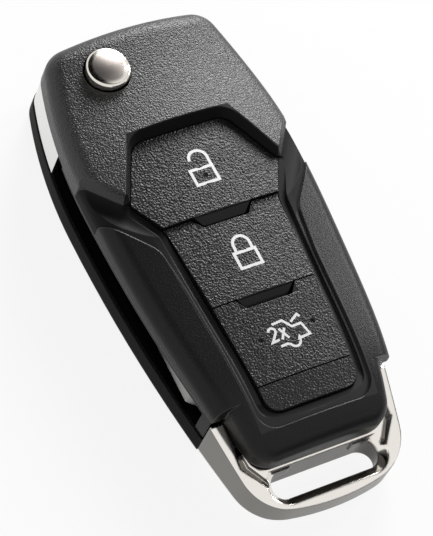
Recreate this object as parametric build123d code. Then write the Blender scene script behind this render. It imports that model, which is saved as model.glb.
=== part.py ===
from build123d import *
import os
from math import atan2, cos, degrees, radians, sin, sqrt

# Flip key remote shell, in millimetres. The key lies on its back: +Z is out of the button face,
# +Y points to the flip end, +X is to the right as the buttons are read. The origin is the middle
# of the footprint on the surface it lies on.

# Outline of the case, seen from the front
half_length = 40.8
half_width = 18.6
widest_y = 15.0
upper_side_radius = 74.0
lower_side_radius = 260.0
flip_end_radius = 160.0
loop_end_radius = 40.0
flip_corner_radius = 4.4
loop_corner_radius = 8.0

# Front surface along the middle of the key, as height over the length
front_profile = [
    (-half_length - 6.2, 1.1), (2.8 - half_length, 9.1), (8.8 - half_length, 13.4),
    (15.8 - half_length, 16.0), (-12.0, 17.0), (4.0, 17.5), (20.0, 17.6),
    (half_length - 5.8, 17.1), (half_length + 5.2, 16.2),
]
crown_radius = 75.0
front_rim_round = 3.0
tail_rim_round = 2.4
frame_step = 0.9
ribbon_step = 0.45
moat_step = 0.6
ribbon_scoop = 0.75
scoop_radius = 3.0
scoop_outer = (20.6, 17.0)
scoop_inner = (11.4, 4.9)

# Levels of the stack, from the back of the key up
rear_floor = 1.3
rear_rim = 4.2
rear_edge_round = 1.6
slot_floor = 4.7
cover_level = 8.8
front_rim = 10.4
cover_top = 11.4

# Walls, ribs and clearances
wall = 1.5
upper_wall = 1.8
rib = 1.0
rib_places = (-14.5, 14.0, 30.5)
web = 0.5
fit_gap = 0.1
band_inset = 0.3
button_gap = 0.16
running_gap = 0.06
pin_gap = 0.02

# Lower end, where the metal loop wraps the plastic
arm_tip_y = 16.4 - half_length
arm_width = 2.3
shell_end_y = 7.4 - half_length
core_end_y = 8.5 - half_length
shell_end_radius = 4.0
shell_end_rim = 8.0
tail_top = 7.7
tail_side_end_y = core_end_y + shell_end_radius

# Flip hinge
pivot_x = 11.8 - half_width
pivot_y = half_length - 7.3
head_disc_radius = 7.3
head_end_y = half_length - 15.6
head_inner_x = 11.4 - half_width
head_inset = 0.12
head_bottom = 4.85
head_top = 10.15
hex_flats = 5.6
sweep_radius = 12.0
sweep_long_radius = 14.8
sweep_start = 24.0
sweep_end = 226.0
sweep_cover_gap = 0.35

# Blade
blade_width = 8.0
blade_thickness = 2.4
blade_left_x = 2.7 - half_width
blade_tip_y = 20.3 - half_length
blade_middle_z = 7.5
blade_tip_chamfer = 2.2
blade_groove_width = 2.6
blade_groove_depth = 0.7
blade_groove_side = 0.6
blade_groove_end = 4.0
tang_width = 6.4
tang_length = 4.4
pin_radius = 0.8
pin_bore_radius = 0.45
pin_slot = 0.3
pin_from_tang_end = 2.0
slot_end_y = 18.8 - half_length
channel_x = 11.9 - half_width

# Release button, its hub and spring
cap_radius = 3.6
cap_gap = 0.2
cap_stand = 1.25
cap_edge_round = 0.5
cap_dome = 0.45
cap_skin = 1.4
cap_skirt_bottom = 14.8
guide_wall = 1.2
stem_radius = 2.5
plunger_skin = 0.9
spring_bore_radius = 2.25
cup_radius = 4.6
cup_wall = 0.9
cup_floor = 0.6
cup_flange = 0.9
cup_flange_thickness = 0.5
cup_bottom = 1.5
spring_radius = 1.75
spring_wire = 0.28
spring_turns = 4
spring_wire_sides = 6
spring_end_gap = 0.02

# Button pad
pad_top_y = half_length - 19.8
pad_top_half = 8.2
pad_shoulder_y = 11.3
pad_shoulder_half = 13.1
pad_waist_y = 5.4
pad_waist_half = 9.95
pad_foot_half = 7.9
pad_bottom_y = 13.4 - half_length
pad_corner_radius = 3.0
pad_shoulder_radius = 0.6
pad_waist_radius = 5.0
pad_foot_radius = 2.4
unlock_end_y = 5.85
lock_end_y = -9.0
boot_end_y = 17.75 - half_length
tongue_reach = 1.5
tongue_half = 5.0
tongue_slant = 1.35
tongue_drop = 1.0
tongue_corner = 0.7
notch_gap = 0.35

# Heights of the upper and lower end of each button's top, and how it is crowned
unlock_heights = (15.4, 16.2)
lock_heights = (15.55, 15.95)
boot_heights = (15.85, 15.2)
panel_heights = (15.1, 14.35)
button_crown_radius = 110.0

# Inside of the buttons and what they press on
button_travel = 0.5
carrier_bottom = 12.3
carrier_thickness = 0.6
carrier_top = carrier_bottom + carrier_thickness
button_bottom = carrier_top + button_travel + 0.5 * fit_gap
button_skin = 1.1
button_wall = 1.0
nub_radius = 1.6
nub_drop = 0.6
mat_end_y = 15.6 - half_length
collar_reach = 1.15
carrier_reach = 1.6
sheet_reach = 0.7
ear_reach = 0.6
ear_length = 2.6
ear_thickness = 0.4
unlock_ear_y = 9.4
lock_ear_y = -2.2
boot_ear_y = -12.2
membrane_thickness = 0.6
dome_radius = 2.8
dome_crown_radius = 1.7
dome_wall = 0.4
dome_top = button_bottom - fit_gap
panel_post_x = 5.0
panel_post_radius = 0.6

# Recess and ribbon around the pad, at the level of the front surface
recess_angle = 29.0
recess_low_level = 15.4
recess_low_y = 11.7
recess_low_half = 14.0
shoulder_out_y = 20.2
shoulder_out_x = 20.5
frame_out_y = 13.0
frame_side_y = 9.3
frame_side_half = 17.6
frame_bend_y = 2.7
frame_bend_half = 12.3
frame_waist_y = -5.0
frame_waist_half = 11.3
frame_foot_half = 9.95
frame_foot_y = 11.3 - half_length
moat_width = 1.2
moat_floor = 13.5

# Metal loop
loop_bottom = 0.6
loop_tip_top = 9.1
loop_end_top = 5.8
loop_end_bottom = 2.2
loop_bend_y = 8.8 - half_length
loop_bevel = (0.5, 1.2)
arm_facet_width = 1.5
arm_facet_drop = 0.9
arm_facet_bend_y = 9.0 - half_length
ring_slot_side = 3.8
ring_slot_low_y = 2.9 - half_length
ring_slot_high_y = 7.2 - half_length
ring_slot_corner = 2.1
loop_chamfer = (1.2, 1.5)
bar_round_share = 0.8
loop_tab_half = 2.5
loop_tab_inset = 4.0
loop_tab_end_y = 14.4 - half_length
loop_tab_under = 0.2
loop_tab_over = 1.6
loop_pin_radius = 1.0
loop_pin_y = 11.8 - half_length

# Screws, cell bay and chip pocket
hinge_screw = (half_width - 7.3, half_length - 7.8)
side_screw = (half_width - 3.7, half_length - 22.6)
low_screw_y = 22.2 - half_length
low_screw_x = half_width - 6.2
slot_screw_x = channel_x + 3.6
screw_points = [hinge_screw, side_screw, (low_screw_x, low_screw_y), (slot_screw_x, low_screw_y)]
screw_radius = 0.75
screw_head_radius = 1.5
screw_head_height = 0.9
screw_post_radius = 2.1
screw_cross = (1.6, 0.4, 0.8)
front_post_radius = 1.3
front_post_x = 11.1
front_post_y = 24.5
cell_radius = 10.1
cell_x = 5.5
cell_y = 0.0
cell_ledge = 1.2
cell_roof = 1.8
chip_pocket = (6.0, 10.0)
chip_x = 8.6
chip_y = 22.6

# Larger than the part, for cutting solids
REACH = 50.0
HIGH = 24.0


def side_x(y, inset=0.0):
    """Half width of the outline at one place along the key."""
    radius = upper_side_radius if y > widest_y else lower_side_radius
    return half_width - radius + sqrt((radius - inset) ** 2 - (y - widest_y) ** 2)


def end_point(sign, radius, inset):
    """Point where the long side meets the flip end (sign 1) or the loop end (sign -1)."""
    y = sign * (half_length - inset)
    for _ in range(20):
        x = side_x(y, inset)
        y = sign * (half_length - radius + sqrt((radius - inset) ** 2 - x**2))
    return x, y


def key_outline(inset=0.0):
    """Face of the whole key, from the flip end to the tip of the loop, moved inwards by inset."""
    top_x, top_y = end_point(1, flip_end_radius, inset)
    low_x, low_y = end_point(-1, loop_end_radius, inset)
    half, end_y = half_width - inset, half_length - inset
    edges = []
    for s in (1, -1):
        for x, y in ((top_x, top_y), (low_x, low_y)):
            mid_y = 0.5 * (widest_y + y)
            middle = (s * side_x(mid_y, inset), mid_y)
            edges.append(ThreePointArc((s * half, widest_y), middle, (s * x, y)))
    edges.append(ThreePointArc((-top_x, top_y), (0, end_y), (top_x, top_y)))
    edges.append(ThreePointArc((-low_x, low_y), (0, -end_y), (low_x, low_y)))
    face = make_face(edges)
    face = fillet([v for v in face.vertices() if v.Y > top_y - 0.01], flip_corner_radius - inset)
    return fillet([v for v in face.vertices() if v.Y < low_y + 0.01], loop_corner_radius - inset)


def band(low_y, high_y):
    """Face across the whole width of the key, between two places along it."""
    return Pos(0, 0.5 * (low_y + high_y)) * Rectangle(2 * REACH, high_y - low_y)


def tail_plan(end_y=shell_end_y, inset=0.0):
    """Face of the narrow lower end of the case, carried up past the tips of the loop."""
    low, high = end_y + inset, arm_tip_y + 6
    places = [low, 0.5 * (low + high), high]
    right = [(side_x(y, arm_width + inset), y) for y in places]
    left = [(-x, y) for x, y in right]
    face = make_face([
        ThreePointArc(*right), Line(right[2], left[2]), ThreePointArc(*left), Line(left[0], right[0]),
    ])
    corners = [v for v in face.vertices() if v.Y < low + 0.01]
    return fillet(corners, shell_end_radius - inset)


def shell_plan(inset=0.0, end_y=core_end_y):
    """Face of the plastic case, which steps in at the lower end between the arms of the loop."""
    upper = key_outline(inset) & band(arm_tip_y + inset, REACH)
    return upper + (tail_plan(end_y, inset) & band(-REACH, arm_tip_y + inset + 1))


def prism(face, low, high):
    return extrude(Pos(0, 0, low) * face, high - low)


def front_block(drop):
    """Solid under the crowned front surface, lowered by drop."""
    half = half_width + 4
    sag = crown_radius - sqrt(crown_radius**2 - half**2)
    sections = []
    for y, z in front_profile:
        top = z - drop
        low_left, low_right = (-half, y, -8.0), (half, y, -8.0)
        high_right, high_left = (half, y, top - sag), (-half, y, top - sag)
        arc = ThreePointArc(high_right, (0, y, top), high_left)
        edges = [Line(low_left, low_right), Line(low_right, high_right), arc, Line(high_left, low_left)]
        sections.append(make_face(edges))
    return loft(sections)


def front_level(x, y):
    """Height of the front surface above a point of the plan."""
    for (y0, z0), (y1, z1) in zip(front_profile, front_profile[1:]):
        if y0 <= y <= y1:
            middle = z0 + (z1 - z0) * (y - y0) / (y1 - y0)
            return middle - (crown_radius - sqrt(crown_radius**2 - x**2))


def rounded_front(drop):
    """Case up to its front surface lowered by drop, with the rim of that surface rounded."""
    surface = front_block(drop)
    wide = round_rim(prism(key_outline(), 0, HIGH) & surface, front_rim_round)
    tail = round_rim(prism(tail_plan(), 0, HIGH) & surface, tail_rim_round)
    upper = prism(band(arm_tip_y, REACH), -1, HIGH)
    return (wide & upper) + (tail - upper)


def round_rim(solid, radius):
    rim = [e for e in solid.edges() if e.bounding_box().min.Z > 0.1 and not upright(e)]
    return fillet(rim, radius)


def upright(edge):
    start, end = edge @ 0, edge @ 1
    return abs(start.X - end.X) < 1e-3 and abs(start.Y - end.Y) < 1e-3


def mirrored_polygon(points, rounds):
    """Face symmetric about X = 0 from the points of its right half, each with a corner radius."""
    full = points + [(-x, y) for x, y in reversed(points)]
    face = make_face(Polyline(*full, close=True))
    for (x, y), radius in zip(points, rounds):
        if radius:
            corners = [v for v in face.vertices() if abs(abs(v.X) - x) < 0.01 and abs(v.Y - y) < 0.01]
            face = fillet(corners, radius)
    return face


def pad_outline(grow=0.0):
    """Face that the three buttons and the blank panel fill together."""
    points = [
        (pad_top_half, pad_top_y), (pad_shoulder_half, pad_shoulder_y), (pad_waist_half, pad_waist_y),
        (pad_foot_half, pad_bottom_y),
    ]
    rounds = [pad_corner_radius, pad_shoulder_radius, pad_waist_radius, pad_foot_radius]
    face = mirrored_polygon(points, rounds)
    return offset(face, amount=grow) if grow else face


def ribbon_region():
    """Face of the sunken ribbon: a groove across each shoulder and a band around the lower buttons."""
    points = [
        (recess_low_half, recess_low_y), (shoulder_out_x, shoulder_out_y), (shoulder_out_x, frame_out_y),
        (frame_side_half, frame_side_y), (frame_bend_half, frame_bend_y),
        (frame_waist_half, frame_waist_y), (frame_foot_half, frame_foot_y),
    ]
    return mirrored_polygon(points, [0, 0, 0, 2.0, 5.0, 10.0, 3.3])


def hinge_place(z=0.0):
    return Pos(pivot_x, pivot_y, z)


def round_bar(x, y, radius, low, high):
    return Pos(x, y, low) * Cylinder(radius, high - low, align=(Align.CENTER, Align.CENTER, Align.MIN))


def sector(radius, start, end):
    """Pie slice around the hinge, between two directions in degrees."""
    steps = 8
    points = [(pivot_x, pivot_y)]
    for i in range(steps + 1):
        angle = radians(start + (end - start) * i / steps)
        reach = radius / cos(radians((end - start) / steps / 2))
        points.append((pivot_x + reach * cos(angle), pivot_y + reach * sin(angle)))
    return make_face(Polyline(*points, close=True))


def hub_sweep(grow=0.0):
    """Everything that the flip head passes over, seen from the front."""
    disc = Pos(pivot_x, pivot_y) * Circle(sweep_radius + grow)
    return disc + sector(sweep_long_radius + grow, sweep_start, sweep_end)


def sweep_face(grow=0.0):
    """Everything that the flip head and the folded blade pass over, seen from the front."""
    length = pivot_y - slot_end_y + grow
    middle_y = slot_end_y - grow + 0.5 * length
    channel = Pos(channel_x + grow - 0.5 * REACH, middle_y) * Rectangle(REACH, length)
    return hub_sweep(grow) + channel


def shoulder_grooves():
    """Concave grooves across the shoulders, deepest at the outer ends."""
    bars = []
    for s in (1, -1):
        ends = []
        for (x, y), depth in ((scoop_outer, ribbon_scoop), (scoop_inner, -fit_gap)):
            level = front_level(x, y) - frame_step - ribbon_step
            ends.append(Vector(s * x, y, level - depth + scoop_radius))
        direction = ends[1] - ends[0]
        bars.append(extrude(Plane(origin=ends[0], z_dir=direction) * Circle(scoop_radius), direction.length))
    return bars


def upper_recess():
    """Solid that cuts the sloping wall around the upper button, down to the level of its cap."""
    sloped = extrude(Pos(0, 0, recess_low_level) * pad_outline(button_gap), 4, taper=-recess_angle)
    return sloped & prism(band(recess_low_y, half_length), 0, HIGH)


def moat():
    """Solid that cuts the narrow moat around the lower buttons, below the floor of the ribbon."""
    ring = pad_outline(button_gap + moat_width) & band(-half_length, recess_low_y)
    return prism(ring, moat_floor, HIGH) - rounded_front(frame_step + ribbon_step + moat_step)


def ear_plan(centre_y, grow=0.0):
    """Face of the pair of ears at the foot of a button, which keep it in its opening."""
    half = 0.5 * ear_length + grow
    return pad_outline(ear_reach + grow) & band(centre_y - half, centre_y + half)


def front_shell():
    upper = rounded_front(0)
    lower = rounded_front(frame_step)
    corner, out = (recess_low_half, recess_low_y), (shoulder_out_x, shoulder_out_y)
    far_x = half_width + 4
    far_y = corner[1] + (far_x - corner[0]) * (out[1] - corner[1]) / (out[0] - corner[0])
    raised = prism(mirrored_polygon([(far_x, REACH), (far_x, far_y), corner], [0, 0, 0]), 0, HIGH)
    body = (upper & raised) + (lower - raised)

    cavity = prism(shell_plan(wall, shell_end_y), 0, HIGH)
    body -= cavity & front_block(frame_step + ribbon_step + wall)
    body -= cavity & front_block(upper_wall) & prism(band(front_post_y, half_length), 0, HIGH)
    collar = prism(pad_outline(collar_reach), carrier_top + fit_gap, HIGH)
    body += collar & front_block(frame_step + ribbon_step)
    mat_area = pad_outline(carrier_reach + fit_gap) & band(mat_end_y - fit_gap, half_length)
    body -= prism(mat_area, 0, carrier_top + fit_gap)

    body -= prism(ribbon_region(), front_rim, HIGH) - rounded_front(frame_step + ribbon_step)
    for bar in shoulder_grooves():
        body -= bar
    body -= moat()
    body -= upper_recess()
    body -= prism(pad_outline(button_gap), 0, HIGH)
    for y in (unlock_ear_y, lock_ear_y, boot_ear_y):
        body -= prism(ear_plan(y, fit_gap), carrier_top, button_bottom + ear_thickness + fit_gap)

    body -= prism(band(arm_tip_y, REACH), -1, front_rim)
    body -= prism(band(-REACH, arm_tip_y), -1, rear_rim + running_gap)
    body -= prism(band(-REACH, tail_side_end_y), -1, shell_end_rim)
    guide = round_bar(pivot_x, pivot_y, cap_radius + cap_gap + guide_wall, cover_top + fit_gap, HIGH)
    body += guide & front_block(frame_step)
    body -= round_bar(pivot_x, pivot_y, cap_radius + cap_gap, 0, HIGH)
    for x, y in screw_points:
        if abs(x) > front_post_x:
            post = round_bar(x, y, front_post_radius, cover_top + fit_gap, HIGH)
            body += post & front_block(wall if y > front_post_y else frame_step + ribbon_step + rib)
    return body


def rear_shell():
    body = prism(shell_plan(), 0, rear_rim)
    bottom = body.faces().sort_by(Axis.Z)[0]
    body = fillet(bottom.edges(), rear_edge_round)
    body -= prism(shell_plan(wall), rear_floor, rear_rim)
    body += round_bar(pivot_x, pivot_y, cup_radius, rear_floor, cup_bottom)
    under = rear_rim - wall
    for x, y in screw_points:
        boss = round_bar(x, y, screw_head_radius + rib, rear_floor, under)
        body += boss - round_bar(x, y, screw_head_radius + 3 * fit_gap, rear_floor, under)
    ring = round_bar(cell_x, cell_y, cell_radius + web, rear_floor, rear_floor + web)
    body += ring - round_bar(cell_x, cell_y, cell_radius - web, rear_floor, rear_floor + web)
    return body


def pockets():
    """Hollow areas of the chassis between its outer wall and the walls around what it carries."""
    face = shell_plan(band_inset + wall) & band(arm_tip_y - web, half_length)
    face -= sweep_face(rib)
    face -= Pos(cell_x, cell_y) * Circle(cell_radius + rib)
    chip_w, chip_l = chip_pocket
    face -= Pos(chip_x, chip_y) * Rectangle(chip_w + 2 * rib, chip_l + 2 * rib)
    for x, y in screw_points:
        face -= Pos(x, y) * Circle(screw_post_radius)
    for y in rib_places:
        face -= Pos(0.5 * half_width, y) * Rectangle(half_width, rib)
    return face


def chassis_base():
    under = rear_rim - wall
    plate = prism(shell_plan(wall + fit_gap), under, rear_rim)
    rim = prism(shell_plan(band_inset) & band(arm_tip_y, REACH), rear_rim, cover_level)
    tail = prism(shell_plan(wall + fit_gap) & band(-REACH, arm_tip_y), rear_rim, tail_top)
    body = plate + rim + tail
    body -= prism(pockets(), rear_rim, HIGH)
    body -= prism(sweep_face(), slot_floor, HIGH)
    body -= round_bar(pivot_x, pivot_y, cup_radius, 0, HIGH)
    body -= round_bar(cell_x, cell_y, cell_radius, 0, cover_level - cell_roof)
    body -= round_bar(cell_x, cell_y, cell_radius - cell_ledge, 0, HIGH)
    chip_w, chip_l = chip_pocket
    body -= prism(Pos(chip_x, chip_y) * Rectangle(chip_w, chip_l), slot_floor, HIGH)
    for x, y in screw_points:
        body -= round_bar(x, y, screw_radius + running_gap, 0, HIGH)
        body -= round_bar(x, y, screw_head_radius + fit_gap, 0, under + screw_head_height)
    for s in (1, -1):
        body -= loop_tab(s, fit_gap)
        body -= round_bar(s * loop_tab_x(), loop_pin_y, loop_pin_radius, 0, HIGH)
    return body


def chassis_cover():
    edge = prism(shell_plan(band_inset) & band(arm_tip_y, REACH), cover_level, front_rim)
    edge -= prism(pockets(), cover_level, front_rim)
    plate = prism(shell_plan(wall + fit_gap) & band(arm_tip_y + rib, REACH), front_rim, cover_top)
    body = edge + plate
    body -= prism(hub_sweep(), 0, front_rim)
    body -= prism(sweep_face(), 0, cover_level + sweep_cover_gap)
    body -= round_bar(pivot_x, pivot_y, stem_radius + running_gap, 0, HIGH)
    body -= round_bar(cell_x, cell_y, cell_radius - wall, 0, HIGH)
    seat = pad_outline(sheet_reach) & band(mat_end_y, half_length)
    body += prism(seat - pad_outline(-sheet_reach), cover_top, carrier_bottom - membrane_thickness)
    for x, y in screw_points:
        body -= round_bar(x, y, screw_radius + pin_gap, 0, front_rim + 4 * fit_gap)
    return body


def loop_tab_x():
    """Place of the tabs and their pins, inside the side walls of the lower end."""
    return side_x(core_end_y) - arm_width - loop_tab_inset


def loop_tab(s, grow):
    """Tab of the loop that plugs into the chassis."""
    low, high = rear_rim + loop_tab_under, shell_end_rim - loop_tab_over
    start, end = core_end_y - wall, loop_tab_end_y + grow
    tab = Pos(s * loop_tab_x(), 0.5 * (start + end)) * Rectangle(2 * (loop_tab_half + grow), end - start)
    return prism(tab, low - grow, high + grow)


def loop_top(y):
    """Height of the loop's sloping top."""
    slope = (loop_tip_top - loop_end_top) / (arm_tip_y + half_length)
    return loop_tip_top + slope * (y - arm_tip_y)


def loop_block():
    """Wedge that the loop is cut from, seen from the side."""
    tip, end = arm_tip_y - fit_gap, -half_length
    points = [
        (tip, loop_bottom), (loop_bend_y, loop_bottom), (end, loop_end_bottom),
        (end, loop_top(end)), (tip, loop_top(tip)),
    ]
    face = make_face(Polyline(*[(0, y, z) for y, z in points], close=True))
    return extrude(face, amount=half_width, dir=(1, 0, 0), both=True)


def ring_slot_half():
    return side_x(ring_slot_low_y) - ring_slot_side


def arm_facet(s):
    """Solid that cuts the slope along the inner edge of an arm, from its tip to the ring slot."""
    slot_x, run = ring_slot_half(), loop_chamfer[0]
    bend_x = side_x(arm_facet_bend_y) - arm_width
    tip_x = side_x(arm_tip_y) - arm_width
    low_y = ring_slot_low_y + ring_slot_corner
    places = [
        (arm_tip_y, tip_x, fit_gap, fit_gap),
        (arm_facet_bend_y, bend_x, arm_facet_width, arm_facet_drop),
        (low_y, slot_x, run, arm_facet_drop),
    ]
    sections = []
    for y, inner_x, width, drop in places:
        top, foot = loop_top(y), loop_top(y) - drop
        corners = [(inner_x + width, top), (inner_x, foot), (inner_x, HIGH), (inner_x + width, HIGH)]
        sections.append(make_face(Polyline(*[(s * x, y, z) for x, z in corners], close=True)))
    return loft(sections, ruled=True)


def key_loop():
    bevel_in, bevel_up = loop_bevel
    foot = Pos(0, 0, loop_bottom) * key_outline(bevel_in)
    bevel_top = loop_bottom + bevel_up
    blank = loft([foot, Pos(0, 0, bevel_top) * key_outline()]) + prism(key_outline(), bevel_top, HIGH)
    body = blank & loop_block()
    for s in (1, -1):
        body -= arm_facet(s)
    body -= prism(shell_plan(-fit_gap), 0, HIGH)
    body -= prism(shell_plan(-fit_gap, shell_end_y), shell_end_rim - fit_gap, HIGH)

    width, length = 2 * ring_slot_half(), ring_slot_high_y - ring_slot_low_y
    middle_y = 0.5 * (ring_slot_low_y + ring_slot_high_y)
    slot = RectangleRounded(width, length, ring_slot_corner)
    body -= prism(Pos(0, middle_y) * slot, 0, HIGH)
    lower_edge = [
        e for e in body.edges()
        if abs(e.center().Y - ring_slot_high_y) < 0.01 and e.center().Z < loop_end_bottom and not upright(e)
    ]
    body = fillet(lower_edge, bar_round_share * (core_end_y - fit_gap - ring_slot_high_y))

    chamfer_run, chamfer_drop = loop_chamfer
    rise = loop_top(0) - loop_top(-1)
    origin = (0, middle_y, loop_top(middle_y) - chamfer_drop)
    tilted = Plane(origin=origin, x_dir=(1, 0, 0), z_dir=(0, -rise, 1))
    funnel = extrude(tilted * slot, 4, taper=-degrees(atan2(chamfer_run, chamfer_drop)))
    body -= funnel & prism(band(-REACH, ring_slot_high_y), 0, HIGH)
    for s in (1, -1):
        body += loop_tab(s, 0)
        body -= round_bar(s * loop_tab_x(), loop_pin_y, loop_pin_radius, 0, HIGH)
    return body


def loop_pins():
    radius = loop_pin_radius - pin_gap
    pins = [round_bar(s * loop_tab_x(), loop_pin_y, radius, rear_rim - wall, tail_top) for s in (1, -1)]
    return Compound(children=pins)


def case_screws():
    under = rear_rim - wall
    length, width, depth = screw_cross
    screws = []
    for x, y in screw_points:
        head = round_bar(x, y, screw_head_radius, under + fit_gap, under + screw_head_height)
        shank = round_bar(x, y, screw_radius, under + screw_head_height, front_rim)
        drive = Box(length, width, depth) + Box(width, length, depth)
        screws.append(head + shank - Pos(x, y, under + fit_gap) * drive)
    return Compound(children=screws)


def hexagon(flats):
    return Pos(pivot_x, pivot_y) * RegularPolygon(flats / 2, 6, major_radius=False)


def blade_middle_x():
    return blade_left_x + 0.5 * blade_width


def blade_pin_y():
    return head_end_y + tang_length - pin_from_tang_end


def flip_head():
    outline = key_outline(head_inset)
    disc = Pos(pivot_x, pivot_y) * Circle(head_disc_radius)
    corner = Pos(head_inner_x - 0.5 * REACH, head_end_y + 0.5 * REACH) * Rectangle(REACH, REACH)
    body = prism((disc + corner) & outline, head_bottom, head_top)
    body -= prism(hexagon(hex_flats), 0, HIGH)
    body -= blade_tang(running_gap)
    body -= round_bar(blade_middle_x(), blade_pin_y(), pin_radius, 0, HIGH)
    return body


def blade_tang(grow):
    """Narrow upper end of the blade, which is held in the flip head."""
    start, end = head_end_y - fit_gap, head_end_y + tang_length + grow
    tang = Pos(blade_middle_x(), 0.5 * (start + end)) * Rectangle(tang_width + 2 * grow, end - start)
    half = 0.5 * blade_thickness + grow
    return prism(tang, blade_middle_z - half, blade_middle_z + half)


def key_blade():
    length = head_end_y - running_gap - blade_tip_y
    low, high = blade_middle_z - 0.5 * blade_thickness, blade_middle_z + 0.5 * blade_thickness
    plan = Pos(blade_middle_x(), blade_tip_y + 0.5 * length) * Rectangle(blade_width, length)
    tips = [v for v in plan.vertices() if v.Y < blade_tip_y + 0.1]
    body = prism(chamfer(tips, blade_tip_chamfer), low, high)
    groove = Rectangle(blade_groove_width, length)
    groove_y = blade_tip_y + 0.5 * length - blade_groove_end
    body -= prism(Pos(blade_middle_x() + blade_groove_side, groove_y) * groove, high - blade_groove_depth, HIGH)
    body -= prism(Pos(blade_middle_x() - blade_groove_side, groove_y) * groove, 0, low + blade_groove_depth)
    body += blade_tang(0)
    return body - round_bar(blade_middle_x(), blade_pin_y(), pin_radius, 0, HIGH)


def blade_pin():
    x, y = blade_middle_x(), blade_pin_y()
    pin = round_bar(x, y, pin_radius - pin_gap, head_bottom + fit_gap, head_top - fit_gap)
    pin -= round_bar(x, y, pin_bore_radius, 0, HIGH)
    return pin - Pos(x + pin_radius, y, blade_middle_z) * Box(1.5 * pin_radius, pin_slot, 10)


def cap_top():
    """Height of the release cap's edge above the table."""
    return front_level(pivot_x, pivot_y) + cap_stand


def release_button():
    top = cap_top()
    body = round_bar(0, 0, cap_radius, cap_skirt_bottom, top)
    rim = [e for e in body.edges() if e.center().Z > top - 0.1 and e.geom_type == GeomType.CIRCLE]
    body = fillet(rim, cap_edge_round)
    dome_base = cap_radius - cap_edge_round
    radius = (dome_base**2 + cap_dome**2) / (2 * cap_dome)
    dome = Pos(0, 0, top + cap_dome - radius) * Sphere(radius)
    body += dome & round_bar(0, 0, dome_base, top - cap_edge_round, HIGH)
    body -= round_bar(0, 0, stem_radius, 0, top - cap_skin)
    return hinge_place() * body


def release_plunger():
    body = prism(hexagon(hex_flats - 2 * running_gap), head_bottom + fit_gap, front_rim - running_gap)
    body += round_bar(pivot_x, pivot_y, stem_radius, front_rim - fit_gap, cap_top() - cap_skin)
    return body - round_bar(pivot_x, pivot_y, spring_bore_radius, 0, head_top - plunger_skin)


def spring_cup():
    under = rear_rim - wall
    body = round_bar(0, 0, cup_radius, cup_bottom, slot_floor)
    body += round_bar(0, 0, cup_radius + cup_flange, under - cup_flange_thickness, under)
    body -= round_bar(0, 0, cup_radius - cup_wall, cup_bottom + cup_floor, HIGH)
    return hinge_place() * body


def flip_spring():
    low = cup_bottom + cup_floor + spring_wire + spring_end_gap
    high = head_top - plunger_skin - spring_wire - spring_end_gap
    path = Pos(0, 0, low) * Helix(pitch=(high - low) / spring_turns, height=high - low, radius=spring_radius)
    section = Plane(origin=path @ 0, z_dir=path % 0) * RegularPolygon(spring_wire, spring_wire_sides)
    return hinge_place() * sweep(section, path=path, is_frenet=True)


def tongue_plan(end_y, grow=0.0):
    """Face of the finger tongue that hangs from a button's lower edge over the next button."""
    half, reach = tongue_half + grow, tongue_reach + grow
    points = [(half, end_y + 1), (half, end_y), (half - tongue_slant, end_y - reach)]
    return mirrored_polygon(points, [0, 0, tongue_corner])


def button_outline(top_y, end_y, has_tongue, under_tongue, inset=0.0):
    """Face of a button between two dividing lines, less the notch for the tongue above it."""
    gap = 0.5 * button_gap + inset
    plan = pad_outline(-inset) & band(end_y + gap, top_y - gap)
    if has_tongue and not inset:
        plan += tongue_plan(end_y)
    if under_tongue:
        plan -= tongue_plan(top_y, notch_gap + inset)
    return plan


def button_top(top_y, end_y, heights):
    """Solid under a button's top surface, a shallow crown that tilts along the key."""
    half = half_width
    sag = button_crown_radius - sqrt(button_crown_radius**2 - half**2)
    top_z, end_z = heights
    slope = (end_z - top_z) / (end_y - top_y)
    sections = []
    for y in (top_y + tongue_reach, end_y - 2 * tongue_reach):
        z = top_z + slope * (y - top_y)
        arc = ThreePointArc((half, y, z - sag), (0, y, z), (-half, y, z - sag))
        right, left = Line((half, y, 0), (half, y, z - sag)), Line((-half, y, z - sag), (-half, y, 0))
        sections.append(make_face([Line((-half, y, 0), (half, y, 0)), right, arc, left]))
    return loft(sections, ruled=True)


def button(top_y, end_y, heights, ear_y, has_tongue, under_tongue):
    outline = button_outline(top_y, end_y, has_tongue, under_tongue)
    body = prism(outline, button_bottom, HIGH) & button_top(top_y, end_y, heights)
    if has_tongue:
        tilt = Rot(degrees(atan2(tongue_drop, tongue_reach)), 0, 0)
        low_side = (Align.CENTER, Align.MAX, Align.MIN)
        body -= Pos(0, end_y + button_gap, heights[1]) * tilt * Box(4 * tongue_half, 8, 4, align=low_side)
    inner = button_outline(top_y, end_y, has_tongue, under_tongue, button_wall)
    body += prism(ear_plan(ear_y), button_bottom, button_bottom + ear_thickness) - prism(inner, 0, HIGH)
    ceiling = min(heights) - button_skin
    body -= prism(inner, 0, ceiling)
    return body + round_bar(0, nub_y(top_y, end_y), nub_radius, button_bottom, ceiling + fit_gap)


def nub_y(top_y, end_y):
    """Place of a button's nub and of the dome under it."""
    return 0.5 * (top_y + end_y) - nub_drop


def unlock_button():
    return button(pad_top_y + tongue_reach, unlock_end_y, unlock_heights, unlock_ear_y, True, False)


def lock_button():
    return button(unlock_end_y, lock_end_y, lock_heights, lock_ear_y, True, True)


def boot_button():
    return button(lock_end_y, boot_end_y, boot_heights, boot_ear_y, False, True)


def dome_places():
    ends = [pad_top_y + tongue_reach, unlock_end_y, lock_end_y, boot_end_y]
    return [nub_y(top_y, end_y) for top_y, end_y in zip(ends, ends[1:])]


def panel_posts(radius, low, high):
    """Pair of posts under the blank panel, which go through the carrier."""
    y = mat_end_y + 2 * panel_post_radius
    return round_bar(panel_post_x, y, radius, low, high) + round_bar(-panel_post_x, y, radius, low, high)


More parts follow.
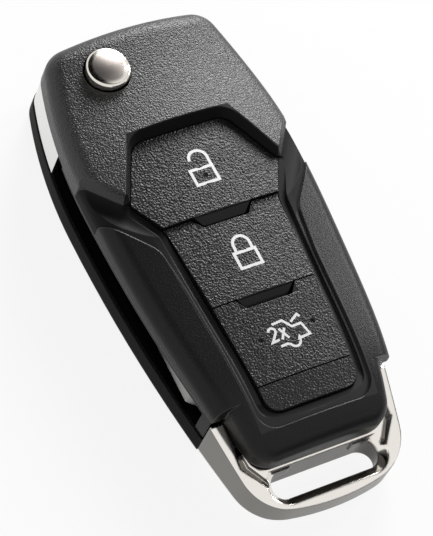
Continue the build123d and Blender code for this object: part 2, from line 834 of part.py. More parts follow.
def blank_panel():
    outline = pad_outline() & band(-half_length, boot_end_y - 0.5 * button_gap)
    under = carrier_top + running_gap
    body = prism(outline, under, HIGH) & button_top(boot_end_y, pad_bottom_y, panel_heights)
    return body + panel_posts(panel_post_radius, carrier_bottom, under)


def button_carrier():
    body = prism(pad_outline(carrier_reach) & band(mat_end_y, half_length), carrier_bottom, carrier_top)
    for y in dome_places():
        body -= round_bar(0, y, dome_radius + dome_wall, 0, HIGH)
    return body - panel_posts(panel_post_radius + pin_gap, 0, HIGH)


def button_membrane():
    low = carrier_bottom - membrane_thickness
    up = (Align.CENTER, Align.CENTER, Align.MIN)
    rise = dome_top - carrier_bottom
    body = prism(pad_outline(sheet_reach) & band(mat_end_y, half_length), low, carrier_bottom)
    for y in dome_places():
        body += Pos(0, y, carrier_bottom) * Cone(dome_radius, dome_crown_radius, rise, align=up)
        inner = Cone(dome_radius - dome_wall, dome_crown_radius - dome_wall, rise, align=up)
        body -= Pos(0, y, low) * inner
    return body


PIECES = {
    "front_shell": front_shell,
    "rear_shell": rear_shell,
    "chassis_base": chassis_base,
    "chassis_cover": chassis_cover,
    "key_loop": key_loop,
    "loop_pins": loop_pins,
    "case_screws": case_screws,
    "flip_head": flip_head,
    "key_blade": key_blade,
    "blade_pin": blade_pin,
    "release_button": release_button,
    "release_plunger": release_plunger,
    "spring_cup": spring_cup,
    "flip_spring": flip_spring,
    "unlock_button": unlock_button,
    "lock_button": lock_button,
    "boot_button": boot_button,
    "blank_panel": blank_panel,
    "button_carrier": button_carrier,
    "button_membrane": button_membrane,
}

os.makedirs("parts", exist_ok=True)
for name, make in PIECES.items():
    piece = make()
    export_step(piece, f"parts/{name}.step")
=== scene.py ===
from math import cos, radians, sin

import bmesh
import bpy
from mathutils import Matrix, Vector


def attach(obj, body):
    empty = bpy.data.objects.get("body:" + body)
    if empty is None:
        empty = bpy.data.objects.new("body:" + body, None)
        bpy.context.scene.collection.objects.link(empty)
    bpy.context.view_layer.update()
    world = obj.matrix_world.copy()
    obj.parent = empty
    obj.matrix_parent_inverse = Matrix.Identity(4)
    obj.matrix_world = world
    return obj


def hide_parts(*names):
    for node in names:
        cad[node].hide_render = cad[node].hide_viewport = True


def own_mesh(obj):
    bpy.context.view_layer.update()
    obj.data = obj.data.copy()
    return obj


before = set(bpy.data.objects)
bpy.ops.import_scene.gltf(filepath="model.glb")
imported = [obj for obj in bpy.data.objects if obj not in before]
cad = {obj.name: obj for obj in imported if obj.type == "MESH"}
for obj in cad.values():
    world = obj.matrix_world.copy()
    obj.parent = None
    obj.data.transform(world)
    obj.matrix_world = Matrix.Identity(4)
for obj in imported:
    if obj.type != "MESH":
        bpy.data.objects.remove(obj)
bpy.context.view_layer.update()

MM = 0.001

# Camera
# The key is seen from its left and lower side, well above it and turned in the picture, from far
# enough away that it hardly narrows towards the back.
aim = Vector((0, 0, 9.6)) * MM
camera_distance, focal_length, camera_shift = 470 * MM, 204.4, (-0.0218, -0.0143)
azimuth, elevation, roll = radians(-51.5), radians(57.4), radians(28.3)
towards_camera = Vector((sin(azimuth) * cos(elevation), -cos(azimuth) * cos(elevation), sin(elevation)))
level_right = Vector((cos(azimuth), sin(azimuth), 0))
level_up = towards_camera.cross(level_right)
camera_right = level_right * cos(roll) + level_up * sin(roll)
camera_up = level_up * cos(roll) - level_right * sin(roll)
turn = Matrix((camera_right, camera_up, towards_camera)).transposed().to_4x4()
camera_data = bpy.data.cameras.new("camera")
camera_data.lens = focal_length
camera_data.shift_x, camera_data.shift_y = camera_shift
camera_data.clip_start = 10 * MM
camera = bpy.data.objects.new("camera", camera_data)
camera.matrix_world = Matrix.Translation(aim + towards_camera * camera_distance) @ turn
bpy.context.scene.collection.objects.link(camera)
bpy.context.scene.camera = camera
bpy.context.scene.view_settings.view_transform = 'Standard'


# Studio
# A pale floor in a white room, clear from below so that the key's back shows. A soft lamp stands behind
# the key, another right of it and a weak one left. Unseen black cards keep sheen off the plastic.
def new_material(name):
    material = bpy.data.materials.new(name)
    material.use_nodes = True
    material.node_tree.nodes.clear()
    return material, material.node_tree


def add(tree, kind, *inputs, **settings):
    """Adds a node. inputs are pairs of socket and value, or of socket and another node's output."""
    made = tree.nodes.new(kind)
    for key, value in settings.items():
        setattr(made, key, value)
    for socket, value in inputs:
        if isinstance(value, bpy.types.NodeSocket):
            tree.links.new(value, made.inputs[socket])
        else:
            made.inputs[socket].default_value = value
    return made


def reckon(tree, operation, first, second=0.0):
    return add(tree, "ShaderNodeMath", (0, first), (1, second), operation=operation).outputs[0]


def spread(tree, value, low, high, start=0.0, end=1.0, smooth=False):
    """Goes from low to high as a value goes from start to end, and no further."""
    kind = 'SMOOTHSTEP' if smooth else 'LINEAR'
    return add(tree, "ShaderNodeMapRange", ("Value", value), ("From Min", start), ("From Max", end),
               ("To Min", low), ("To Max", high), interpolation_type=kind).outputs["Result"]


def mixed(tree, share, first, second):
    return add(tree, "ShaderNodeMixShader", (0, share), (1, first.outputs[0]), (2, second.outputs[0]))


def finish(tree, shader):
    add(tree, "ShaderNodeOutputMaterial", ("Surface", shader.outputs[0]))


def grey(tone):
    return tone, tone, tone, 1


def object_place(tree):
    return add(tree, "ShaderNodeTexCoord").outputs["Object"]


def plain_sight(tree, share=1.0):
    """share where the camera looks straight or by a mirror image, 1 through glass, and 0 for other light."""
    path = add(tree, "ShaderNodeLightPath").outputs
    sharp = reckon(tree, 'MAXIMUM', path["Is Camera Ray"], path["Is Glossy Ray"])
    return reckon(tree, 'MAXIMUM', reckon(tree, 'MULTIPLY', sharp, share), path["Is Transmission Ray"])


def put(name, data, matrix=None):
    made = bpy.data.objects.new(name, data)
    if matrix:
        made.matrix_world = matrix
    bpy.context.scene.collection.objects.link(made)
    return made


def card_mesh(name, width, length, material):
    mesh = bpy.data.meshes.new(name)
    x, y = width / 2, length / 2
    mesh.from_pydata([(-x, -y, 0), (x, -y, 0), (x, y, 0), (-x, y, 0)], [], [(0, 1, 2, 3)])
    mesh.materials.append(material)
    return mesh


def facing(place):
    """Matrix for something at place that looks down its own -Z axis at the key."""
    turned = (aim - Vector(place)).to_track_quat('-Z', 'Y').to_matrix().to_4x4()
    return Matrix.Translation(place) @ turned


# The floor looks white, with shadow_share of its real shade mixed in. It lets light through from below,
# and also where light has only the floor_gap to go, between it and the key's back.
floor_size, floor_tone, floor_gap = 1.6, 0.8, 0.05 * MM
shadow_share = 0.12
material, tree = new_material("pale_floor")
paper = add(tree, "ShaderNodeBsdfDiffuse", ("Color", grey(floor_tone)))
white = add(tree, "ShaderNodeEmission", ("Color", grey(1)), ("Strength", 1.0))
from_above = mixed(tree, plain_sight(tree, 1 - shadow_share), paper, white)
ray_length = add(tree, "ShaderNodeLightPath").outputs["Ray Length"]
touching = reckon(tree, 'LESS_THAN', ray_length, 2 * floor_gap)
clear = reckon(tree, 'MAXIMUM', touching, add(tree, "ShaderNodeNewGeometry").outputs["Backfacing"])
finish(tree, mixed(tree, clear, from_above, add(tree, "ShaderNodeBsdfTransparent")))
floor_matrix = Matrix.Translation((0, 0, -floor_gap))
put("floor", card_mesh("floor", floor_size, floor_size, material), floor_matrix)

room_light = 0.42
room = bpy.data.worlds.new("white_room")
bpy.context.scene.world = room
room.use_nodes = True
tree = room.node_tree
tree.nodes.clear()
walls = add(tree, "ShaderNodeBackground", ("Color", grey(1)),
            ("Strength", spread(tree, plain_sight(tree), room_light, 1.0)))
add(tree, "ShaderNodeOutputWorld", ("Surface", walls.outputs[0]))

for name, place, size, power in (
    ("back_lamp", (0.30, 0.40, 0.27), 0.22, 3.6),
    ("right_lamp", (0.47, 0.12, 0.28), 0.16, 1.3),
    ("left_lamp", (-0.42, 0.12, 0.30), 0.22, 0.06),
):
    lamp = bpy.data.lights.new(name, 'AREA')
    lamp.size = size
    lamp.energy = power
    put(name, lamp, facing(place))

# The cards are black felt in the middle and fade to nothing towards their edges.
card_way, card_distance = Vector((-0.05, 0.46, 0.89)), 0.42
felt_tone, felt_radius, clear_radius = 0.01, 0.16, 0.27
felt_stretch = 0.62
material, tree = new_material("black_card")
narrowed = add(tree, "ShaderNodeVectorMath", (0, object_place(tree)), (1, (felt_stretch, 1, 1)),
               operation='MULTIPLY').outputs[0]
from_middle = add(tree, "ShaderNodeVectorMath", (0, narrowed), operation='LENGTH').outputs["Value"]
fade = spread(tree, from_middle, 0.0, 1.0, felt_radius, clear_radius, smooth=True)
felt = add(tree, "ShaderNodeBsdfDiffuse", ("Color", grey(felt_tone)))
finish(tree, mixed(tree, fade, felt, add(tree, "ShaderNodeBsdfTransparent")))
for name, place, width, length in (
    ("dark_card", aim + card_way * card_distance, 0.9, 0.56),
    ("side_card", (0.45, 0.06, 0.01), 0.5, 0.24),
    ("front_card", (0.22, -0.42, 0.13), 0.5, 0.26),
):
    card = put(name, card_mesh(name, width, length, material), facing(place))
    card.visible_camera = False
    card.visible_shadow = False


# Rear half of the case
# A flat tray of black plastic, moulded with a fine satin texture, that the inner frame sits in. Its
# upright rim is painted darker than its flat back, a painted shade, and its edges get a painted highlight.
def clouds(tree, place, size, detail=3.0, fineness=0.5):
    """Soft random patches about size across, from 0 to 1."""
    return add(tree, "ShaderNodeTexNoise", ("Vector", place), ("Scale", 1 / size), ("Detail", detail),
               ("Roughness", fineness)).outputs["Fac"]


def grain(tree, place, size, depth, fineness=0.5):
    """Moulded grain: bumps about size across and depth high."""
    return reckon(tree, 'MULTIPLY', clouds(tree, place, size, 2.0, fineness), depth)


def rounded_edges(tree, radius, samples):
    """Way that the surface faces, with the piece's edges rounded over a radius."""
    return add(tree, "ShaderNodeBevel", ("Radius", radius), samples=samples).outputs[0]


def bumped(tree, height, rounded=None, strength=1.0):
    """Way that the surface faces, with bumps of a height in metres."""
    bump = add(tree, "ShaderNodeBump", ("Height", height), ("Distance", 1.0), ("Strength", strength))
    if rounded:
        tree.links.new(rounded, bump.inputs["Normal"])
    return bump.outputs[0]


def edges(tree, rounded):
    """1 on the edges that rounded_edges rounds, and 0 on flat faces."""
    flat = add(tree, "ShaderNodeNewGeometry").outputs["True Normal"]
    agreement = add(tree, "ShaderNodeVectorMath", (0, rounded), (1, flat), operation='DOT_PRODUCT')
    return spread(tree, agreement.outputs["Value"], 0.0, 1.0, start=0.98, end=0.88)


def levelness(tree):
    """0 on upright faces and 1 on faces that lie flat or slope a little."""
    way = add(tree, "ShaderNodeNewGeometry").outputs["Normal"]
    upward = reckon(tree, 'ABSOLUTE', add(tree, "ShaderNodeSeparateXYZ", ("Vector", way)).outputs["Z"])
    return spread(tree, upward, 0.0, 1.0, start=0.2, end=0.45)


def moulded_black(name, tone, roughness, grain_size, grain_depth, sheen=0.35, edge_highlight=0.0, upright_shade_share=1.0):
    """Black plastic with a fine grain and slightly uneven colour.

    Its edges are painted lighter, a painted highlight. Upright faces take a share of the tone and sheen, a
    painted shade.
    """
    edge_radius, patch_size, unevenness = 0.15 * MM, 9 * MM, 0.15
    material, tree = new_material(name)
    place = object_place(tree)
    rounded = rounded_edges(tree, edge_radius, samples=6)
    tint = spread(tree, clouds(tree, place, patch_size), (1 - unevenness) * tone, (1 + unevenness) * tone)
    # Painted shade: upright faces take less of the tone and sheen than level ones.
    share = spread(tree, levelness(tree), upright_shade_share, 1.0)
    # Painted highlight: the edges are made lighter in colour.
    painted_highlight = reckon(tree, 'MULTIPLY', edges(tree, rounded), edge_highlight)
    colour = reckon(tree, 'ADD', reckon(tree, 'MULTIPLY', tint, share), painted_highlight)
    plastic = add(tree, "ShaderNodeBsdfPrincipled", ("Base Color", colour), ("Roughness", roughness),
                  ("Specular IOR Level", sheen),
                  ("Normal", bumped(tree, grain(tree, place, grain_size, grain_depth), rounded)))
    if upright_shade_share < 1:
        tree.links.new(reckon(tree, 'MULTIPLY', share, sheen), plastic.inputs["Specular IOR Level"])
    finish(tree, plastic)
    return material


def dress(name, material):
    """Gives a piece of the frame its finish."""
    for slot in cad[name].material_slots:
        slot.material = material


dress("rear_shell", moulded_black("rear_shell_plastic", tone=0.022, roughness=0.45, grain_size=0.2 * MM,
                                  grain_depth=0.02 * MM, sheen=0.3, edge_highlight=0.04, upright_shade_share=0.1))


# Inner frame, base and cover
# Two gloss black mouldings; only the cover's edge and the blade's slot show between the shells.
gloss_colour, gloss_sheen = (0.004, 0.004, 0.0045, 1), 0.12
gloss_edge_radius = 0.08 * MM
ripple_size, ripple_depth, ripple_strength = 4 * MM, 0.01 * MM, 0.6
smear_size, wiped_roughness, smeared_roughness = 6 * MM, 0.12, 0.26
material, tree = new_material("frame_gloss")
place = object_place(tree)
rounded = rounded_edges(tree, gloss_edge_radius, samples=4)
ripple = grain(tree, place, ripple_size, ripple_depth)
smears = clouds(tree, place, smear_size, detail=4.0)
plastic = add(tree, "ShaderNodeBsdfPrincipled", ("Base Color", gloss_colour),
              ("Roughness", spread(tree, smears, wiped_roughness, smeared_roughness)),
              ("Specular IOR Level", gloss_sheen),
              ("Normal", bumped(tree, ripple, rounded, ripple_strength)))
finish(tree, plastic)
for name in ("chassis_base", "chassis_cover"):
    dress(name, material)


# Release spring, its cup and the plunger
# Drawn wire, a pressed cup and a turned plunger, all plain steel, inside the hinge. The spring stands in
# its cup under the plunger.
def worked_steel(name, tone, roughness, scratch_size):
    """Steel with faint scratches and unevenly polished, from smoothest to roughest times the roughness."""
    scratch_depth, edge_radius, patch_size = 0.003 * MM, 0.06 * MM, 2 * MM
    smoothest, roughest, blue_share = 0.8, 1.3, 0.98
    material, tree = new_material(name)
    place = object_place(tree)
    rounded = rounded_edges(tree, edge_radius, samples=4)
    scratches = grain(tree, place, scratch_size, scratch_depth)
    rough = spread(tree, clouds(tree, place, patch_size), roughness * smoothest, roughness * roughest)
    metal = add(tree, "ShaderNodeBsdfPrincipled", ("Base Color", (tone, tone, tone * blue_share, 1)),
                ("Metallic", 1.0), ("Roughness", rough), ("Normal", bumped(tree, scratches, rounded)))
    finish(tree, metal)
    return material


def copied(name, node, material):
    """A piece of the case with a node's own shape. It takes the node's place."""
    mesh = cad[node].data.copy()
    mesh.materials.clear()
    mesh.materials.append(material)
    piece = put(name, mesh)
    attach(piece, "case")
    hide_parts(node)
    return piece


coil = copied("release_coil", "flip_spring", worked_steel("spring_wire", 0.42, 0.3, 0.2 * MM))
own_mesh(coil)
dress("spring_cup", worked_steel("pressed_cup", 0.45, 0.35, 0.3 * MM))
dress("release_plunger", worked_steel("turned_plunger", 0.5, 0.28, 0.15 * MM))


# Flip head, blade and roll pin
# A nickel plated casting holds the uncut blade by its tang, and a slotted pin goes through both.
dress("flip_head", worked_steel("head_nickel", 0.78, 0.22, 0.5 * MM))
# Painted shade: the blade gets a dark tone for its place deep in the slot.
dress("key_blade", worked_steel("blade_nickel", 0.26, 0.3, 0.25 * MM))
dress("blade_pin", worked_steel("pin_steel", 0.5, 0.35, 0.2 * MM))


# Screws
# Four small zinc plated screws hold the two halves of the inner frame together.
dress("case_screws", worked_steel("screw_zinc", 0.45, 0.35, 0.2 * MM))


# Loop and its pins
# A faceted metal casting, polished and plated, plugs into the frame with two pinned tabs. Its upright
# faces are satin, and painted darker as painted shade, most of all those inside the loop.
plating_colour, plating_roughness = (0.80, 0.77, 0.72, 1), 0.09
loop_edge_radius, haze_size = 0.55 * MM, 5 * MM
wave_size, wave_depth, wave_strength = 3 * MM, 0.01 * MM, 0.5
inside_half_width, inside_low_y = 10.4 * MM, -38.4 * MM
painted_side_tone, painted_inside_tone, side_roughness = 0.25, 0.1, 0.2
material, tree = new_material("loop_plating")
place = object_place(tree)
parts = add(tree, "ShaderNodeSeparateXYZ", ("Vector", place)).outputs
between_arms = reckon(tree, 'LESS_THAN', reckon(tree, 'ABSOLUTE', parts["X"]), inside_half_width)
above_end = reckon(tree, 'GREATER_THAN', parts["Y"], inside_low_y)
# Painted shade: upright faces get a darker colour, most of all those inside the loop.
painted_upright_tone = spread(tree, reckon(tree, 'MULTIPLY', between_arms, above_end), painted_side_tone, painted_inside_tone)
level = levelness(tree)
rough = spread(tree, clouds(tree, place, haze_size), plating_roughness * 0.7, plating_roughness * 1.5)
satin = spread(tree, level, side_roughness, 0.0)
shade = spread(tree, level, painted_upright_tone, 1.0)
colour = add(tree, "ShaderNodeMix", (0, 1.0), (6, plating_colour), (7, shade), data_type='RGBA',
             blend_type='MULTIPLY').outputs[2]
waves = grain(tree, place, wave_size, wave_depth)
rounded = rounded_edges(tree, loop_edge_radius, samples=8)
metal = add(tree, "ShaderNodeBsdfPrincipled", ("Base Color", colour), ("Metallic", 1.0),
            ("Roughness", reckon(tree, 'ADD', rough, satin)),
            ("Normal", bumped(tree, waves, rounded, wave_strength)))
finish(tree, metal)
dress("key_loop", material)
dress("loop_pins", worked_steel("loop_pin_steel", 0.5, 0.35, 0.2 * MM))


# Rubber sheet and its carrier
# Grey silicone with a dome under each button, held down by a thin black plate. The sheet is cut between
# the domes, into one part for each button.
rubber_colour, rubber_roughness = (0.16, 0.16, 0.165, 1), 0.6
rubber_grain_size, rubber_grain_depth = 0.2 * MM, 0.006 * MM
material, tree = new_material("silicone")
skin = grain(tree, object_place(tree), rubber_grain_size, rubber_grain_depth)
silicone = add(tree, "ShaderNodeBsdfPrincipled", ("Base Color", rubber_colour),
               ("Roughness", rubber_roughness), ("Normal", bumped(tree, skin)))
finish(tree, silicone)

# Each row is a dome, its joint, and where its part of the sheet starts and ends along Y, in millimetres.
merge_distance, cut_tolerance = 0.001 * MM, 0.0001 * MM
for name, joint, low_y, high_y in (
    ("unlock_dome", "unlock_press", 5.5, 30.0),
    ("lock_dome", "lock_press", -9.5, 5.5),
    ("boot_dome", "boot_press", -30.0, -9.5),
):
    part = copied(name, "button_membrane", material)
    mesh = bmesh.new()
    mesh.from_mesh(part.data)
    bmesh.ops.remove_doubles(mesh, verts=mesh.verts, dist=merge_distance)
    for y, outward in ((low_y, -1), (high_y, 1)):
        whole = mesh.verts[:] + mesh.edges[:] + mesh.faces[:]
        cut = bmesh.ops.bisect_plane(mesh, geom=whole, dist=cut_tolerance, plane_co=(0, y * MM, 0),
                                     plane_no=(0, outward, 0), clear_outer=True)
        rim = [item for item in cut["geom_cut"] if isinstance(item, bmesh.types.BMEdge)]
        bmesh.ops.holes_fill(mesh, edges=rim, sides=0)
    bmesh.ops.recalc_face_normals(mesh, faces=mesh.faces)
    mesh.to_mesh(part.data)
    mesh.free()
    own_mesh(part)
dress("button_carrier", moulded_black("carrier_plastic", tone=0.02, roughness=0.45, grain_size=0.3 * MM,
                                      grain_depth=0.004 * MM))


# Buttons and blank panel
# Three caps and a blank field of black plastic, moulded with a coarse pebbled grain. The tongues between
# the caps are smooth, with painted shade, and three small dimples are left from the mould, with painted shade
# in them.
def within(tree, value, low, high, blend=0.15):
    """1 where a value in metres lies between two places in millimetres."""
    start = spread(tree, value, 0.0, 1.0, (low - blend / 2) * MM, (low + blend / 2) * MM)
    end = spread(tree, value, 0.0, 1.0, (high + blend / 2) * MM, (high - blend / 2) * MM)
    return reckon(tree, 'MULTIPLY', start, end)


# Places, radii and reaches of the dimples and the tongues are in millimetres.
pebble_size, pebble_depth = 0.32 * MM, 0.165 * MM
button_tone, button_sheen, button_roughness = 0.010, 0.27, 0.34
dimple_shade_tone, dimple_sheen = 0.001, 0.04
dimple_places = [(0.23, 12.05), (-4.43, -16.4), (4.95, -16.02)]
dimple_radius, dimple_bottom, dimple_depth = 0.55, 0.1, 0.2
tongue_half_width, tongue_shade = 5.1, 0.3
tongue_reaches = [(4.0, 5.75), (-10.8, -9.1)]
button_edge_radius = 0.14 * MM
material, tree = new_material("button_plastic")
place = object_place(tree)
parts = add(tree, "ShaderNodeSeparateXYZ", ("Vector", place)).outputs
across = within(tree, parts["X"], -tongue_half_width, tongue_half_width)
reaches = [within(tree, parts["Y"], low, high) for low, high in tongue_reaches]
tongues = reckon(tree, 'MULTIPLY', across, reckon(tree, 'MAXIMUM', *reaches))
pebbles = reckon(tree, 'MULTIPLY', clouds(tree, place, pebble_size, detail=1.0, fineness=0.4), pebble_depth)
height = reckon(tree, 'MULTIPLY', pebbles, reckon(tree, 'SUBTRACT', 1.0, tongues))
# Painted shade: the tongues and the dimples take a darker tone and less sheen.
painted_shade = reckon(tree, 'MULTIPLY', tongues, tongue_shade)
plan = add(tree, "ShaderNodeVectorMath", (0, place), (1, (1, 1, 0)), operation='MULTIPLY').outputs[0]
for x, y in dimple_places:
    away = add(tree, "ShaderNodeVectorMath", (0, plan), (1, (x * MM, y * MM, 0)), operation='DISTANCE')
    dip = spread(tree, away.outputs["Value"], 0.0, 1.0, dimple_radius * MM, dimple_bottom * MM, smooth=True)
    height = reckon(tree, 'SUBTRACT', height, reckon(tree, 'MULTIPLY', dip, dimple_depth * MM))
    painted_shade = reckon(tree, 'MAXIMUM', painted_shade, dip)
rounded = rounded_edges(tree, button_edge_radius, samples=6)
plastic = add(tree, "ShaderNodeBsdfPrincipled", ("Base Color", spread(tree, painted_shade, button_tone, dimple_shade_tone)),
              ("Roughness", button_roughness),
              ("Specular IOR Level", spread(tree, painted_shade, button_sheen, dimple_sheen)),
              ("Normal", bumped(tree, height, rounded)))
finish(tree, plastic)
for name in ("unlock_button", "lock_button", "boot_button", "blank_panel"):
    dress(name, material)


# Signs on the buttons
# White printed lines, given in millimetres: an open padlock, a closed padlock, and a car with its boot
# open and the number of presses it takes. Each is a thin film that follows the crown of its button.
padlock_line, car_line = 0.5, 0.4
film_top, film_foot = 0.02, 0.06
above_key = 30


def printed(name, button, body, strokes, line_width, material):
    """Film on the top of a button. strokes are (points in mm, whether the line closes)."""
    mesh = bmesh.new()
    for points, closed in strokes:
        stroke(mesh, cad[button], [Vector(point) for point in points], closed, line_width)
    bmesh.ops.recalc_face_normals(mesh, faces=mesh.faces)
    data = bpy.data.meshes.new(name)
    mesh.to_mesh(data)
    mesh.free()
    data.materials.append(material)
    sign = put(name, data)
    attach(sign, body)


def stroke(mesh, cap, points, closed, line_width):
    """Line of a given width along points, with its corners mitred and a film's thickness."""
    count = len(points)
    rings = []
    for i, point in enumerate(points):
        before = points[i - 1] if closed or i else point * 2 - points[1]
        after = points[(i + 1) % count] if closed or i < count - 1 else point * 2 - points[i - 1]
        sides = [Vector((start.y - end.y, end.x - start.x)).normalized()
                 for start, end in ((before, point), (point, after))]
        mitre = (sides[0] + sides[1]) / (1 + sides[0].dot(sides[1])) * line_width / 2
        ring = []
        for place in (point + mitre, point - mitre):
            top = on_cap(cap, place)
            ring.append(mesh.verts.new((top + Vector((0, 0, film_top))) * MM))
            ring.append(mesh.verts.new((top - Vector((0, 0, film_foot))) * MM))
        rings.append(ring)
    for i in range(count if closed else count - 1):
        a, b = rings[i], rings[(i + 1) % count]
        for j, k in ((0, 2), (2, 3), (3, 1), (1, 0)):
            mesh.faces.new((a[j], a[k], b[k], b[j]))
    if not closed:
        for ring in (rings[0], rings[-1]):
            mesh.faces.new((ring[0], ring[2], ring[3], ring[1]))


def on_cap(cap, place):
    """Point of a button's top above a place in the plan, in millimetres."""
    hit, spot, normal, face = cap.ray_cast(Vector((place.x, place.y, above_key)) * MM, Vector((0, 0, -1)))
    return spot / MM


def arc(x, y, radius_x, radius_y, start, end, steps=12):
    """Points of part of an ellipse, between two directions in degrees."""
    turns = [radians(start + (end - start) * i / steps) for i in range(steps + 1)]
    return [(x + radius_x * cos(turn), y + radius_y * sin(turn)) for turn in turns]


def frame_of(low_x, low_y, high_x, high_y):
    return [(low_x, low_y), (high_x, low_y), (high_x, high_y), (low_x, high_y)]


ink_low, ink_high, ink_roughness, ink_sheen = 0.74, 0.84, 0.5, 0.3
speckle_size, speckle_depth = 0.2 * MM, 0.01 * MM
material, tree = new_material("white_print")
speckle = clouds(tree, object_place(tree), speckle_size, detail=2.0)
ink = add(tree, "ShaderNodeBsdfPrincipled", ("Base Color", spread(tree, speckle, ink_low, ink_high)),
          ("Roughness", ink_roughness), ("Specular IOR Level", ink_sheen),
          ("Normal", bumped(tree, reckon(tree, 'MULTIPLY', speckle, speckle_depth))))
finish(tree, ink)

bpy.context.view_layer.update()
open_shackle = [(2.05, 13.7)] + arc(0.55, 15.15, 1.55, 1.5, -13, 180, 14)
printed("unlock_sign", "unlock_button", "unlock",
        [(frame_of(-1.78, 10.78, 2.1, 13.5), True), (open_shackle, False)], padlock_line, material)
shut_shackle = [(1.62, -1.6)] + arc(0.25, -0.55, 1.4, 1.45, 0, 180, 14) + [(-1.2, -1.6)]
printed("lock_sign", "lock_button", "lock",
        [(frame_of(-1.72, -4.48, 1.98, -1.78), True), (shut_shackle, False)], padlock_line, material)
car = [(-1.62, -14.55), (0.22, -14.42), (1.34, -15.8), (2.99, -15.74), (3.6, -17.78), (1.62, -17.95)]
wheel = arc(0.72, -18.1, 0.92, 0.92, 10, -160, 8)
bumper = [(-0.62, -18.2), (-1.8, -18.27)]
lid = [(1.49, -15.06), (2.98, -14.2), (3.31, -14.67)]
two = arc(-2.12, -15.65, 0.6, 0.6, 170, -35, 8) + [(-2.75, -17.3), (-1.5, -17.2)]
cross = [([(-0.88, -15.5), (0.1, -17.38)], False), ([(0.05, -15.62), (-1.06, -17.32)], False)]
printed("boot_sign", "boot_button", "boot",
        [(car + wheel + bumper, False), (lid, False), (two, False)] + cross, car_line, material)


# Front half of the case
# Black plastic, pebbled above the shoulders and satin below them. The sunken ribbon between them and the
# band round the buttons are smooth. The band has painted light towards its lower end, and the satin part's
# edges a painted highlight.
def above_line(tree, across, along, start, end, blend=0.25):
    """1 above the line through two points of the right half, in millimetres, and 0 below it."""
    slope = (end[1] - start[1]) / (end[0] - start[0])
    over = reckon(tree, 'SUBTRACT', along, reckon(tree, 'MULTIPLY', across, slope))
    edge = (start[1] - slope * start[0]) * MM
    return spread(tree, over, 0.0, 1.0, edge - blend * MM / 2, edge + blend * MM / 2)


shoulder_line = (14.0, 11.7), (20.5, 20.2)
recess_side_line = (9.0, 22.3), (14.1, 11.8)
recess_top_line = (0, 22.2), (10, 22.2)
ribbon_line = (12.3, 2.7), (17.6, 9.3)
band_side_line = (11.8, -5.0), (12.4, 5.0)
band_end_line = (0, -29.5), (10, -29.5)
coarse_size, coarse_depth, coarse_fineness = 0.29 * MM, 0.15 * MM, 0.45
satin_size, satin_depth = 0.24 * MM, 0.055 * MM
front_edge_radius = 0.3 * MM
satin_tone, pebbled_tone, band_light_tone, highlight_tone = 0.007, 0.013, 0.02, 0.09
band_dark_y, band_light_y = 6 * MM, -2 * MM
front_roughness, ribbon_roughness = 0.36, 0.56
satin_sheen, ribbon_sheen, pebbled_sheen = 0.2, 0.1, 0.5
material, tree = new_material("front_shell_plastic")
place = object_place(tree)
parts = add(tree, "ShaderNodeSeparateXYZ", ("Vector", place)).outputs
across, along = reckon(tree, 'ABSOLUTE', parts["X"]), parts["Y"]
round_recess = reckon(tree, 'MAXIMUM', above_line(tree, across, along, *recess_side_line),
                      above_line(tree, across, along, *recess_top_line))
pebbled = reckon(tree, 'MULTIPLY', above_line(tree, across, along, *shoulder_line), round_recess)
over_ribbon = above_line(tree, across, along, *ribbon_line)
band = reckon(tree, 'MINIMUM', above_line(tree, across, along, *band_side_line),
              above_line(tree, across, along, *band_end_line))
framed = reckon(tree, 'SUBTRACT', 1.0, reckon(tree, 'MAXIMUM', over_ribbon, band))
coarse = reckon(tree, 'MULTIPLY', grain(tree, place, coarse_size, coarse_depth, coarse_fineness), pebbled)
fine = reckon(tree, 'MULTIPLY', grain(tree, place, satin_size, satin_depth), framed)
height = reckon(tree, 'ADD', coarse, fine)
rounded = rounded_edges(tree, front_edge_radius, samples=8)
# Painted highlight: the edges of the satin part are made lighter.
edge_highlight = reckon(tree, 'MULTIPLY', edges(tree, rounded), framed)
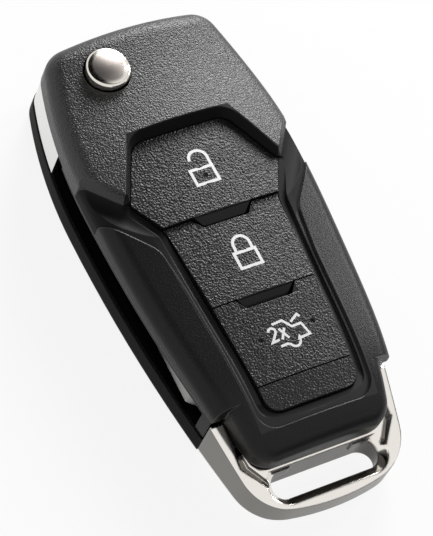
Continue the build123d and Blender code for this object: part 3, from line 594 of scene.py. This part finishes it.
# Painted light: the band round the buttons is lighter towards its lower end.
painted_band_light = reckon(tree, 'MULTIPLY', band, spread(tree, along, 0.0, 1.0, band_dark_y, band_light_y))
ribbon = reckon(tree, 'MULTIPLY', over_ribbon, reckon(tree, 'SUBTRACT', 1.0, pebbled))
painted_light = reckon(tree, 'ADD', reckon(tree, 'MULTIPLY', painted_band_light, band_light_tone),
                 reckon(tree, 'MULTIPLY', edge_highlight, highlight_tone))
shade = reckon(tree, 'ADD', spread(tree, pebbled, satin_tone, pebbled_tone), painted_light)
sheen = spread(tree, pebbled, spread(tree, ribbon, satin_sheen, ribbon_sheen), pebbled_sheen)
plastic = add(tree, "ShaderNodeBsdfPrincipled", ("Base Color", shade),
              ("Roughness", spread(tree, ribbon, front_roughness, ribbon_roughness)),
              ("Specular IOR Level", sheen), ("Normal", bumped(tree, height, rounded)))
finish(tree, plastic)
dress("front_shell", material)


# Release cap
# A small domed cap, polished and plated, proud of the front half beside its corner. Its middle is
# hazier than its rim, and painted darker as painted shade.
cap_middle = (-6.8 * MM, 33.5 * MM, 0)
disc_radius, rim_radius = 2.3 * MM, 3.0 * MM
# Painted shade: the middle's colour is darker than the rim's.
rim_colour, disc_shaded_colour = (0.74, 0.71, 0.65, 1), (0.25, 0.225, 0.21, 1)
rim_roughness, disc_roughness = 0.1, 0.34
cap_edge_radius = 0.25 * MM
polish_size, polish_depth = 0.25 * MM, 0.002 * MM
material, tree = new_material("cap_plating")
place = object_place(tree)
plan = add(tree, "ShaderNodeVectorMath", (0, place), (1, (1, 1, 0)), operation='MULTIPLY').outputs[0]
from_middle = add(tree, "ShaderNodeVectorMath", (0, plan), (1, cap_middle), operation='DISTANCE')
disc = spread(tree, from_middle.outputs["Value"], 1.0, 0.0, disc_radius, rim_radius, smooth=True)
colour = add(tree, "ShaderNodeMix", (0, disc), (6, rim_colour), (7, disc_shaded_colour), data_type='RGBA').outputs[2]
rounded = rounded_edges(tree, cap_edge_radius, samples=8)
metal = add(tree, "ShaderNodeBsdfPrincipled", ("Base Color", colour), ("Metallic", 1.0),
            ("Roughness", spread(tree, disc, rim_roughness, disc_roughness)),
            ("Normal", bumped(tree, grain(tree, place, polish_size, polish_depth), rounded)))
finish(tree, metal)
dress("release_button", material)
